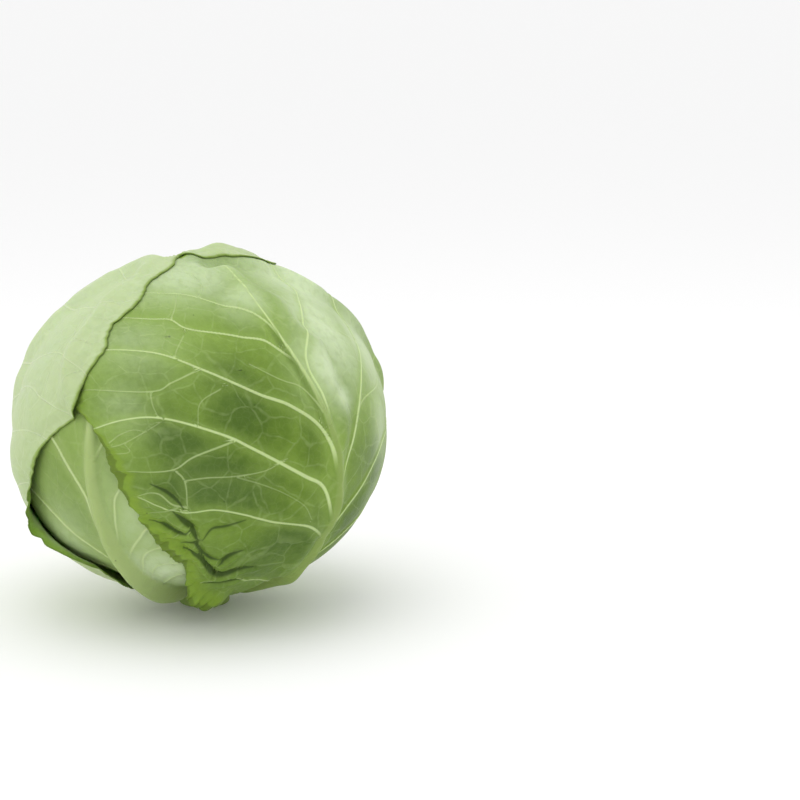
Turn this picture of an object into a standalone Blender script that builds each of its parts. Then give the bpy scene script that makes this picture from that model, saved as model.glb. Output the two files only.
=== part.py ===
"""A head of white cabbage, standing on its cut stem.

The head is a dense heart of folded leaves with five wrapper leaves round it. Each wrapper leaf is drawn flat
first, in degrees of arc measured from its own middle, and is then wrapped over everything that lies under it.
+Z is up and the origin is the middle of the stem's cut face, where the head rests.
"""

import math

import bmesh
import bpy
import numpy as np

# Driving dimensions, in metres. Angles are in degrees.
HEART_HALF_WIDTH = 0.0819
HEART_HALF_HEIGHT = 0.0739
HEART_CENTRE_HEIGHT = 0.0842
STEM_RADIUS = 0.0120
STEM_CHAMFER = 0.0012
LEAF_THICKNESS = 0.0010
LAYER_GAP = 0.0014

# The heart is drawn in a little round the stem and is not quite round.
DIMPLE_DEPTH = 0.085
DIMPLE_SPREAD = 24.0
HEART_LUMP = 0.010
# Soft swellings of the head: azimuth, angle from the stem and half width in degrees, and height.
HEART_SWELLS = [(-168, 80, 17, 0.0036), (-160, 57, 16, 0.0030), (-130, 167, 15, 0.0040)]
HEART_COLUMNS = 24
HEART_RINGS = 16
STEM_SIDES = 28
STEM_CLEARANCE = 0.0004

# A leaf under another one takes this much room above its thickness, for its own veins. Its rib lifts what
# lies over it by more than its own height and width, because a leaf bends over a rib in a wide curve.
VEIN_ALLOWANCE = 0.0011
BURIED_EDGE_FADE = 8.0
BULGE_HEIGHT = 1.1
BULGE_WIDTH = 1.9
BULGE_MARGIN = 4.0

# The rib runs from the cut base of the leaf to near its tip.
LEAF_BASE = -84.0
BASE_FROM_STEM_AXIS = 13.0
RIB_HEIGHT = 0.0062
RIB_HALF_WIDTH = 4.9
RIB_TIP_HALF_WIDTH = 0.7
RIB_END = 0.93
RIB_LENGTH = 170.0
RIB_HEIGHT_TAPER = 1.7
RIB_WIDTH_TAPER = 1.3
# A rib swells towards its cut base, by the leaf's own heel.
HEEL_LENGTH = 30.0
# The rib sways sideways near its base, in its middle, and on the way to its tip.
BASE_SWAY_AT = -55.0
BASE_SWAY_SPREAD = 24.0
MIDDLE_SWAY_AT = 46.0
MIDDLE_SWAY_SPREAD = 40.0
TIP_SWAY_FROM = 5.0
TIP_SWAY_LENGTH = 80.0

# Each side vein leaves the rib at the first number and ends at the margin in the direction of the second.
# The first and last pairs are the leaf's base corner and its tip.
SIDE_VEINS = [(-84, 172), (-56, 140), (-34, 106), (-14, 78), (6, 56), (30, 37), (54, 17), (76, 0)]
VEIN_HEIGHT = 0.0015
VEIN_BOW = 6.0
VEIN_FLANK = 0.10
MARGIN_LOBE = 1.3
MARGIN_SMOOTHING = 7
EDGE_LIFT = 0.0006
EDGE_FADE = 5.0
COLUMNS_PER_SIDE = 12
RIB_COLUMNS = 2
WIDEST_RIB_SHARE = 0.3
TIP_SEAM = 0.001

# Nothing but the stem reaches the surface: lower points are eased up to this height.
LOWEST_LEAF = 0.0007
SETTLE_RANGE = 0.010

PALE_GREEN = (0.56, 0.66, 0.36, 1.0)
MID_GREEN = (0.34, 0.48, 0.17, 1.0)
CUT_STEM = (0.74, 0.75, 0.52, 1.0)
LEAF_ROUGHNESS = 0.45
STEM_ROUGHNESS = 0.7

# Wrapper leaves from the innermost out. azimuth is where the rib stands round the head and middle is the
# leaf's middle, both in degrees, the second up from the stem. outline is the margin's distance from that
# middle by direction: 0 is the tip, 180 the base. sway bends the rib sideways near its base, in its middle
# and near its tip. rib is the rib's size and heel how much it swells at its base. ruffles are places where
# the margin stands off: direction, half width, height in metres, and 1 where it is waved.
LEAVES = [
    {
        "name": "wrapper_leaf_5",
        "azimuth": 13,
        "middle": 93,
        "outline": [
            (-172, 82), (-150, 70), (-118, 70), (-80, 76), (-30, 80), (25, 78), (80, 74), (120, 70),
            (150, 72), (172, 82),
        ],
        "sway": (3, 0, -5),
        "rib": 1.0,
        "heel": 0.0,
        "ruffles": [],
    },
    {
        "name": "wrapper_leaf_4",
        "azimuth": 235,
        "middle": 92,
        "outline": [
            (-172, 82), (-150, 72), (-118, 70), (-80, 74), (-30, 76), (25, 78), (80, 80), (120, 76),
            (150, 76), (172, 82),
        ],
        "sway": (1, -2, 0),
        "rib": 1.35,
        "heel": 0.5,
        "ruffles": [],
    },
    {
        "name": "wrapper_leaf_3",
        "azimuth": 96,
        "middle": 92,
        "outline": [
            (-172, 82), (-152, 68), (-122, 66), (-86, 74), (-40, 86), (0, 90), (30, 86), (70, 76),
            (115, 70), (150, 70), (172, 82),
        ],
        "sway": (-4, 0, 6),
        "rib": 1.1,
        "heel": 0.0,
        "ruffles": [(-100, 45, 0.0024, 1)],
    },
    {
        "name": "wrapper_leaf_2",
        "azimuth": -45,
        "middle": 92,
        "outline": [
            (-175, 82), (-166, 69), (-157, 68), (-149, 69), (-143, 66), (-137, 62), (-130, 60),
            (-117, 62), (-106, 66), (-94, 70), (-86, 72), (-78, 78), (-72, 90), (-60, 93), (-35, 92),
            (5, 86), (60, 82), (92, 76), (125, 70), (150, 70), (172, 82),
        ],
        "sway": (1, -13, 2),
        "rib": 0.95,
        "heel": 0.0,
        "ruffles": [(-110, 40, 0.0024, 1), (-157, 11, 0.0042, 0)],
    },
    {
        "name": "wrapper_leaf_1",
        "azimuth": 152,
        "middle": 95,
        "outline": [
            (-172, 82), (-150, 72), (-120, 70), (-90, 74), (-60, 84), (-30, 98), (-16, 104), (-9, 103),
            (-3, 95), (2, 88), (10, 84), (30, 83), (48, 80), (62, 79), (70, 78), (77, 75), (84, 66),
            (95, 61), (105, 56), (114, 58), (124, 60), (133, 76), (150, 82), (172, 82),
        ],
        "sway": (3, 0, 6),
        "rib": 1.1,
        "heel": 0.0,
        "ruffles": [(108, 34, 0.0022, 1), (109, 19, 0.0038, 0), (124, 9, 0.0028, 0), (25, 50, -0.0009, 0)],
    },
]

HEART_CENTRE = np.array([0.0, 0.0, HEART_CENTRE_HEIGHT])
DOWN = np.array([0.0, 0.0, -1.0])


def ease(x):
    """0 below 0 and 1 above 1, with a smooth step between."""
    x = np.clip(x, 0.0, 1.0)
    return x * x * (3.0 - 2.0 * x)


def clear_scene():
    for obj in list(bpy.data.objects):
        bpy.data.objects.remove(obj)


def make_material(name, colour, roughness):
    material = bpy.data.materials.new(name)
    material.use_nodes = True
    shader = material.node_tree.nodes["Principled BSDF"]
    shader.inputs["Base Color"].default_value = colour
    shader.inputs["Roughness"].default_value = roughness
    shader.inputs["Metallic"].default_value = 0.0
    return material


def finish_object(name, mesh, material, collection):
    mesh.materials.append(material)
    mesh.shade_smooth()
    obj = bpy.data.objects.new(name, mesh)
    collection.objects.link(obj)
    return obj


def heart_radius(direction):
    """Distance from the heart's centre to its surface, for unit directions in rows."""
    across = direction[:, 0] ** 2 + direction[:, 1] ** 2
    along = direction[:, 2] ** 2
    radius = 1.0 / np.sqrt(across / HEART_HALF_WIDTH**2 + along / HEART_HALF_HEIGHT**2)
    from_stem = np.degrees(np.arccos(np.clip(-direction[:, 2], -1.0, 1.0)))
    round_head = np.arctan2(direction[:, 1], direction[:, 0])
    radius *= 1.0 - DIMPLE_DEPTH * np.exp(-((from_stem / DIMPLE_SPREAD) ** 2))
    radius *= 1.0 + HEART_LUMP * across * np.sin(3.0 * round_head + 0.6)
    for azimuth, swell_from_stem, half_width, height in HEART_SWELLS:
        turn, rise = math.radians(azimuth), math.radians(swell_from_stem)
        middle = [math.sin(rise) * math.cos(turn), math.sin(rise) * math.sin(turn), -math.cos(rise)]
        away = np.degrees(np.arccos(np.clip(direction @ np.array(middle), -1.0, 1.0)))
        radius += height * np.exp(-((away / half_width) ** 2))
    return radius


def leaf_axes(leaf):
    """The direction of the leaf's middle, and the unit directions towards its tip and to its side."""
    azimuth = math.radians(leaf["azimuth"])
    middle = math.radians(leaf["middle"])
    outward = np.array([math.cos(azimuth), math.sin(azimuth), 0.0])
    sideways = np.array([-math.sin(azimuth), math.cos(azimuth), 0.0])
    centre = math.cos(middle) * DOWN + math.sin(middle) * outward
    tipward = -math.sin(middle) * DOWN + math.cos(middle) * outward
    return centre, tipward, sideways


def direction_of(leaf, u, v):
    """Unit directions of points of the flat leaf, u towards the tip and v sideways."""
    centre, tipward, sideways = leaf_axes(leaf)
    reach = np.radians(np.hypot(u, v))
    turn = np.arctan2(v, u)
    spread = np.cos(turn)[:, None] * tipward + np.sin(turn)[:, None] * sideways
    return np.cos(reach)[:, None] * centre + np.sin(reach)[:, None] * spread


def flat_of(leaf, direction):
    """The flat leaf's u and v under each direction: the reverse of direction_of."""
    centre, tipward, sideways = leaf_axes(leaf)
    reach = np.degrees(np.arccos(np.clip(direction @ centre, -1.0, 1.0)))
    turn = np.arctan2(direction @ sideways, direction @ tipward)
    return reach * np.cos(turn), reach * np.sin(turn)


def vein_number(turn):
    """How many side veins from the tip a margin direction is: whole numbers at the veins' ends."""
    vein_ends = [end for _, end in SIDE_VEINS][::-1]
    return np.interp(np.abs(turn), vein_ends, range(len(vein_ends)))


def margin_reach(leaf, turn):
    """Distance of the margin from the leaf's middle, by direction in degrees, with a lobe at each vein."""
    whole_turn = np.arange(360.0)
    angles, reaches = zip(*leaf["outline"])
    ring = np.interp(whole_turn, np.array(angles) % 360, reaches, period=360)
    window = np.hanning(2 * MARGIN_SMOOTHING + 1)
    window /= window.sum()
    ring = np.concatenate([ring[-MARGIN_SMOOTHING:], ring, ring[:MARGIN_SMOOTHING]])
    ring = np.convolve(ring, window, mode="valid")
    lobes = MARGIN_LOBE * np.cos(2.0 * np.pi * vein_number(turn))
    return np.interp(turn % 360, whole_turn, ring, period=360) + lobes


def inside_margin(leaf, u, v):
    """How far in from the margin a flat point lies, in degrees; below 0 outside the leaf."""
    return margin_reach(leaf, np.degrees(np.arctan2(v, u))) - np.hypot(u, v)


def rib_sway(leaf, u):
    """Sideways place of the rib at u."""
    at_base, at_middle, at_tip = leaf["sway"]
    near_base = np.exp(-(((u - BASE_SWAY_AT) / BASE_SWAY_SPREAD) ** 2))
    near_middle = np.exp(-(((u - MIDDLE_SWAY_AT) / MIDDLE_SWAY_SPREAD) ** 2))
    near_tip = ease((u - TIP_SWAY_FROM) / TIP_SWAY_LENGTH)
    return at_base * near_base + at_middle * near_middle + at_tip * near_tip


def rib_size(leaf, u):
    """Height and half width of the rib at u."""
    left = np.clip(1.0 - (u - LEAF_BASE) / RIB_LENGTH, 0.0, 1.0)
    swell = leaf["rib"] * (1.0 + leaf["heel"] * np.exp(-(((u - LEAF_BASE) / HEEL_LENGTH) ** 2)))
    height = swell * RIB_HEIGHT * left**RIB_HEIGHT_TAPER
    half_width = swell * RIB_HALF_WIDTH * left**RIB_WIDTH_TAPER + RIB_TIP_HALF_WIDTH
    return height, half_width


def margin_lift(leaf, u, v, waves=True):
    """How far the leaf stands off what is under it near its margin."""
    inside = inside_margin(leaf, u, v)
    turn = np.degrees(np.arctan2(v, u))
    lift = EDGE_LIFT * (1.0 - ease(inside / EDGE_FADE))
    for where, half_width, height, waved in leaf["ruffles"]:
        away = (turn - where + 180.0) % 360.0 - 180.0
        share = height * np.exp(-((away / half_width) ** 2))
        if waves and waved:
            share *= 0.5 - 0.5 * np.cos(2.0 * np.pi * vein_number(turn))
        lift += share * (1.0 - ease(inside / (2.0 * EDGE_FADE)))
    return lift


def stack_height(direction, leaf_count):
    """Height above the heart's surface of the innermost leaf_count leaves, as the next leaf finds it."""
    height = np.zeros(len(direction))
    for leaf in LEAVES[:leaf_count]:
        u, v = flat_of(leaf, direction)
        cover = ease(1.0 + inside_margin(leaf, u, v) / BURIED_EDGE_FADE)
        rib_height, half_width = rib_size(leaf, u)
        from_rib = (v - rib_sway(leaf, u)) / (BULGE_WIDTH * half_width + BULGE_MARGIN)
        bulge = BULGE_HEIGHT * rib_height * np.exp(-(from_rib**2))
        room = LAYER_GAP + LEAF_THICKNESS + VEIN_ALLOWANCE + bulge + margin_lift(leaf, u, v, waves=False)
        height += cover * room
    return height


def settle(points):
    """Eases the underside up so that only the stem reaches the surface."""
    room = SETTLE_RANGE - LOWEST_LEAF
    low = points[:, 2] < SETTLE_RANGE
    points[low, 2] = LOWEST_LEAF + room * np.exp((points[low, 2] - SETTLE_RANGE) / room)
    return points


def vein_rows():
    """Places of the mesh rows, counted in side veins: along each crest, both its feet, and between veins."""
    rows = [0.0, 0.5]
    for vein in range(1, len(SIDE_VEINS) - 1):
        rows += [vein - VEIN_FLANK, vein, vein + VEIN_FLANK, vein + 0.5]
    return rows + [len(SIDE_VEINS) - 1.0]


def column_place(column, rib_share):
    """Share of the way from rib to margin: even steps as far as the rib's foot, then even steps beyond it."""
    on_rib = rib_share * column / RIB_COLUMNS
    beyond = (column - RIB_COLUMNS) / (COLUMNS_PER_SIDE - RIB_COLUMNS)
    return np.where(column <= RIB_COLUMNS, on_rib, rib_share + (1.0 - rib_share) * beyond)


def flat_leaf_point(leaf, row, column):
    """u, v and share of the way out: row counts side veins from the base, column from the rib."""
    counts = np.arange(len(SIDE_VEINS))
    starts, ends = zip(*SIDE_VEINS)
    side = np.sign(column)
    turn = np.interp(row, counts, ends) * np.where(side == 0, 1, side)
    reach = margin_reach(leaf, turn)
    start = np.maximum(np.interp(row, counts, starts), BASE_FROM_STEM_AXIS - leaf["middle"])
    start = np.minimum(start, RIB_END * margin_reach(leaf, np.zeros(1))[0])
    start_v = rib_sway(leaf, start)
    end_u = reach * np.cos(np.radians(turn))
    end_v = reach * np.sin(np.radians(turn))
    half_width = rib_size(leaf, start)[1]
    rib_share = np.clip(half_width / np.maximum(np.abs(end_v - start_v), half_width), 0.0, WIDEST_RIB_SHARE)
    out = column_place(np.abs(column), rib_share)
    middle_rows = ease(row / 2.0) * ease((counts[-1] - row) / 2.0)
    bow = VEIN_BOW * 4.0 * out * (1.0 - out) * middle_rows
    return start + (end_u - start) * out + bow, start_v + (end_v - start_v) * out, out


def vein_ridge(row, out):
    """Height of the side veins' crests over the leaf between them."""
    from_crest = np.abs(row - np.round(row))
    ends = (np.round(row) > 0) & (np.round(row) < len(SIDE_VEINS) - 1)
    crest = np.clip(1.0 - from_crest / VEIN_FLANK, 0.0, 1.0) * ends
    return VEIN_HEIGHT * crest * (1.0 - out)


def lay_flat(leaf):
    """The leaf as a flat sheet in rows along its side veins: x and y are u and v, z the crests' height."""
    rows = vein_rows()
    bm = bmesh.new()
    bmesh.ops.create_grid(bm, x_segments=2 * COLUMNS_PER_SIDE, y_segments=len(rows) - 1, size=1.0)
    across, along = np.array([vertex.co[:2] for vertex in bm.verts]).T
    row = np.array(rows)[np.round((along + 1.0) / 2.0 * (len(rows) - 1)).astype(int)]
    u, v, out = flat_leaf_point(leaf, row, np.round(across * COLUMNS_PER_SIDE))
    for vertex, point in zip(bm.verts, np.column_stack([u, v, vein_ridge(row, out)])):
        vertex.co = point
    bmesh.ops.remove_doubles(bm, verts=bm.verts[:], dist=TIP_SEAM)
    bmesh.ops.triangulate(bm, faces=bm.faces[:])
    return bm


def wrap(leaf, order, vertices, outer_face):
    """Moves flat vertices on to the leaf's inner or outer face, over the order leaves that lie under it."""
    u, v, ridge = np.array([vertex.co[:] for vertex in vertices]).T
    direction = direction_of(leaf, u, v)
    radius = heart_radius(direction) + stack_height(direction, order) + LAYER_GAP + margin_lift(leaf, u, v)
    if outer_face:
        rib_height, half_width = rib_size(leaf, u)
        from_rib = np.clip(np.abs(v - rib_sway(leaf, u)) / half_width, 0.0, 1.0)
        radius += LEAF_THICKNESS + rib_height * (1.0 - from_rib**2) ** 2 + ridge
    points = settle(HEART_CENTRE + direction * radius[:, None])
    for vertex, point in zip(vertices, points):
        vertex.co = point


def leaf_mesh(leaf, order):
    """The leaf as one closed solid: the flat sheet extruded, then wrapped on as inner and outer face."""
    bm = lay_flat(leaf)
    inner_face = bm.verts[:]
    made = bmesh.ops.extrude_face_region(bm, geom=bm.faces[:])
    outer_face = [item for item in made["geom"] if isinstance(item, bmesh.types.BMVert)]
    wrap(leaf, order, inner_face, False)
    wrap(leaf, order, outer_face, True)
    bmesh.ops.recalc_face_normals(bm, faces=bm.faces[:])
    if bm.calc_volume(signed=True) < 0.0:
        bmesh.ops.reverse_faces(bm, faces=bm.faces[:])
    mesh = bpy.data.meshes.new(leaf["name"])
    bm.to_mesh(mesh)
    bm.free()
    return mesh


def heart_mesh(stem_top):
    """The dense heart: a sphere drawn out to the heart's form, flat where it meets the stem."""
    bm = bmesh.new()
    bmesh.ops.create_uvsphere(bm, u_segments=HEART_COLUMNS, v_segments=HEART_RINGS, radius=1.0)
    direction = np.array([vertex.co.normalized()[:] for vertex in bm.verts])
    points = HEART_CENTRE + direction * heart_radius(direction)[:, None]
    for vertex, point in zip(bm.verts, points):
        vertex.co = (point[0], point[1], max(point[2], stem_top + STEM_CLEARANCE))
    mesh = bpy.data.meshes.new("heart")
    bm.to_mesh(mesh)
    bm.free()
    return mesh


def make_stem(stem_top, material, collection):
    """The cut stem: a turned stub with a small chamfer round its cut face."""
    profile = [
        (0.0, stem_top),
        (STEM_RADIUS - STEM_CHAMFER, stem_top),
        (STEM_RADIUS, stem_top - STEM_CHAMFER),
        (STEM_RADIUS, STEM_CHAMFER),
        (STEM_RADIUS - STEM_CHAMFER, 0.0),
        (0.0, 0.0),
    ]
    mesh = bpy.data.meshes.new("stem")
    mesh.from_pydata([(x, 0.0, z) for x, z in profile], [(i, i + 1) for i in range(len(profile) - 1)], [])
    stem = finish_object("stem", mesh, material, collection)
    screw = stem.modifiers.new("turn", "SCREW")
    screw.steps = STEM_SIDES
    screw.render_steps = STEM_SIDES
    screw.use_merge_vertices = True
    screw.merge_threshold = 0.00001
    return stem


def build_cabbage():
    clear_scene()
    collection = bpy.data.collections.new("cabbage_head")
    bpy.context.scene.collection.children.link(collection)
    leaf_material = make_material("wrapper_leaf", MID_GREEN, LEAF_ROUGHNESS)
    heart_material = make_material("heart", PALE_GREEN, LEAF_ROUGHNESS)
    stem_material = make_material("cut_stem", CUT_STEM, STEM_ROUGHNESS)

    stem_top = HEART_CENTRE_HEIGHT - float(heart_radius(DOWN[None, :])[0]) - STEM_CLEARANCE
    make_stem(stem_top, stem_material, collection)
    finish_object("heart", heart_mesh(stem_top), heart_material, collection)
    for order, leaf in enumerate(LEAVES):
        finish_object(leaf["name"], leaf_mesh(leaf, order), leaf_material, collection)


build_cabbage()
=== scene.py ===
# Dresses a head of white cabbage: fine veined leaves, a cut stem, a plain floor, soft light and a camera.
import math

import bmesh
import bpy
import numpy as np
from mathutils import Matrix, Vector, noise


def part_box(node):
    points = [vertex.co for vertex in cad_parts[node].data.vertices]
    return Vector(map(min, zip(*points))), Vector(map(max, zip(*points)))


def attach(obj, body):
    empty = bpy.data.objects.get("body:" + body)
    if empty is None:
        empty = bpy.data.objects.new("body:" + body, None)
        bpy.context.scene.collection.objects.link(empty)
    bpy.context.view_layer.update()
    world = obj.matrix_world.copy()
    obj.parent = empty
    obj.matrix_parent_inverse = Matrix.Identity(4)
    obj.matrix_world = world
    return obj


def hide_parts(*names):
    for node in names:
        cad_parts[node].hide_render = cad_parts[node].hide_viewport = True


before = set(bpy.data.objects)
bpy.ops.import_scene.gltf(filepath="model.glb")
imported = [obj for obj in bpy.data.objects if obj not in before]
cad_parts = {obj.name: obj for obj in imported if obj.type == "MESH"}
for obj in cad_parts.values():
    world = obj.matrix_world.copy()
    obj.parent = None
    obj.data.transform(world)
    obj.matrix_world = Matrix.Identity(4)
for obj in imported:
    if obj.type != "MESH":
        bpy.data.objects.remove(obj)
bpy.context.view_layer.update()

# The head's form, in metres and degrees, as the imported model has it
headForm = {
    "halfWidth": 0.0819,
    "halfHeight": 0.0739,
    "centreHeight": 0.0842,
    "dimpleDepth": 0.085,       # drawn in round the stem
    "dimpleSpread": 24.0,
    "lump": 0.010,
    "swells": [(-168, 80, 17, 0.0036), (-160, 57, 16, 0.0030), (-130, 167, 15, 0.0040)],
    "layerGap": 0.0014,
    "leafRoom": 0.0010,
    "veinRoom": 0.0011,
    "edgeFade": 8.0,            # how softly a leaf drops off a buried margin
    "bulgeHeight": 1.1,         # a leaf bends over a buried rib in a wide curve
    "bulgeWidth": 1.9,
    "bulgeMargin": 4.0,
    "lowestLeaf": 0.0007,
    "settleRange": 0.010,
    "mmPerDegree": 1.55,
}
headCentre = np.array([0.0, 0.0, headForm["centreHeight"]])
downward = np.array([0.0, 0.0, -1.0])


def ease(x):
    x = np.clip(x, 0.0, 1.0)
    return x * x * (3.0 - 2.0 * x)


def cloud(points, size, seed=0.0):  # smooth noise, about -1 to 1
    return np.array([noise.noise((x + seed, y, z)) for x, y, z in points / size])


def marginCloud(turn, detail, seed):  # noise along a margin that meets itself after one round
    turn = np.radians(turn)
    ring = np.column_stack([np.cos(turn), np.sin(turn), np.full(len(turn), float(seed))])
    return cloud(ring * [detail, detail, 3.7], 1.0)


def heartRadius(direction):
    across = direction[:, 0] ** 2 + direction[:, 1] ** 2
    along = direction[:, 2] ** 2
    radius = 1.0 / np.sqrt(across / headForm["halfWidth"] ** 2 + along / headForm["halfHeight"] ** 2)
    fromStem = np.degrees(np.arccos(np.clip(-direction[:, 2], -1.0, 1.0)))
    roundHead = np.arctan2(direction[:, 1], direction[:, 0])
    radius *= 1.0 - headForm["dimpleDepth"] * np.exp(-((fromStem / headForm["dimpleSpread"]) ** 2))
    radius *= 1.0 + headForm["lump"] * across * np.sin(3.0 * roundHead + 0.6)
    for azimuth, up, halfWidth, height in headForm["swells"]:
        turn, rise = math.radians(azimuth), math.radians(up)
        middle = np.array([math.sin(rise) * math.cos(turn), math.sin(rise) * math.sin(turn), -math.cos(rise)])
        away = np.degrees(np.arccos(np.clip(direction @ middle, -1.0, 1.0)))
        radius += height * np.exp(-((away / halfWidth) ** 2))
    return radius


# What every wrapper leaf shares. Distances on the flat leaf are degrees of arc from its middle.
leafForm = {
    "base": -84.0,
    "ribHeight": 0.0062,
    "ribHalfWidth": 4.9,
    "ribTipHalfWidth": 0.7,
    "ribLength": 170.0,
    "ribHeightTaper": 1.7,
    "ribWidthTaper": 1.3,
    "heelLength": 30.0,
    "baseSwayAt": -55.0,
    "baseSwaySpread": 24.0,
    "middleSwayAt": 46.0,
    "middleSwaySpread": 40.0,
    "tipSwayFrom": 5.0,
    "tipSwayLength": 80.0,
    "sideVeins": [(-84, 172), (-56, 140), (-34, 106), (-14, 78), (6, 56), (30, 37), (54, 17), (76, 0)],
    "veinBow": 6.0,
    "lobe": 1.3,
    "marginSmoothing": 7,
    "edgeLift": 0.0006,
    "edgeWidth": 5.0,
    "bladeThickness": 0.0009,
    "marginThickness": 0.0005,
    "thinOver": 3.0,            # degrees from the margin where the blade reaches its full thickness
    "lobeTurn": 6.5,            # degrees of turn for one small lobe of the margin
    "frillWidth": 6.0,
    "ribLine": [(-84, 8.5), (-62, 7.5), (-40, 5.4), (-20, 3.5), (0, 2.2), (20, 1.2), (40, 0.8), (78, 0.4)],
    "press": 0.0042,            # margins lie down on the leaf underneath
    "pressWidth": 10.0,
    "contact": 0.0003,
    "sink": 0.0006,             # how far the blade draws in along its veins
    "sinkWidth": 4.5,           # mm
    "waviness": 0.0005,
}

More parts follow.
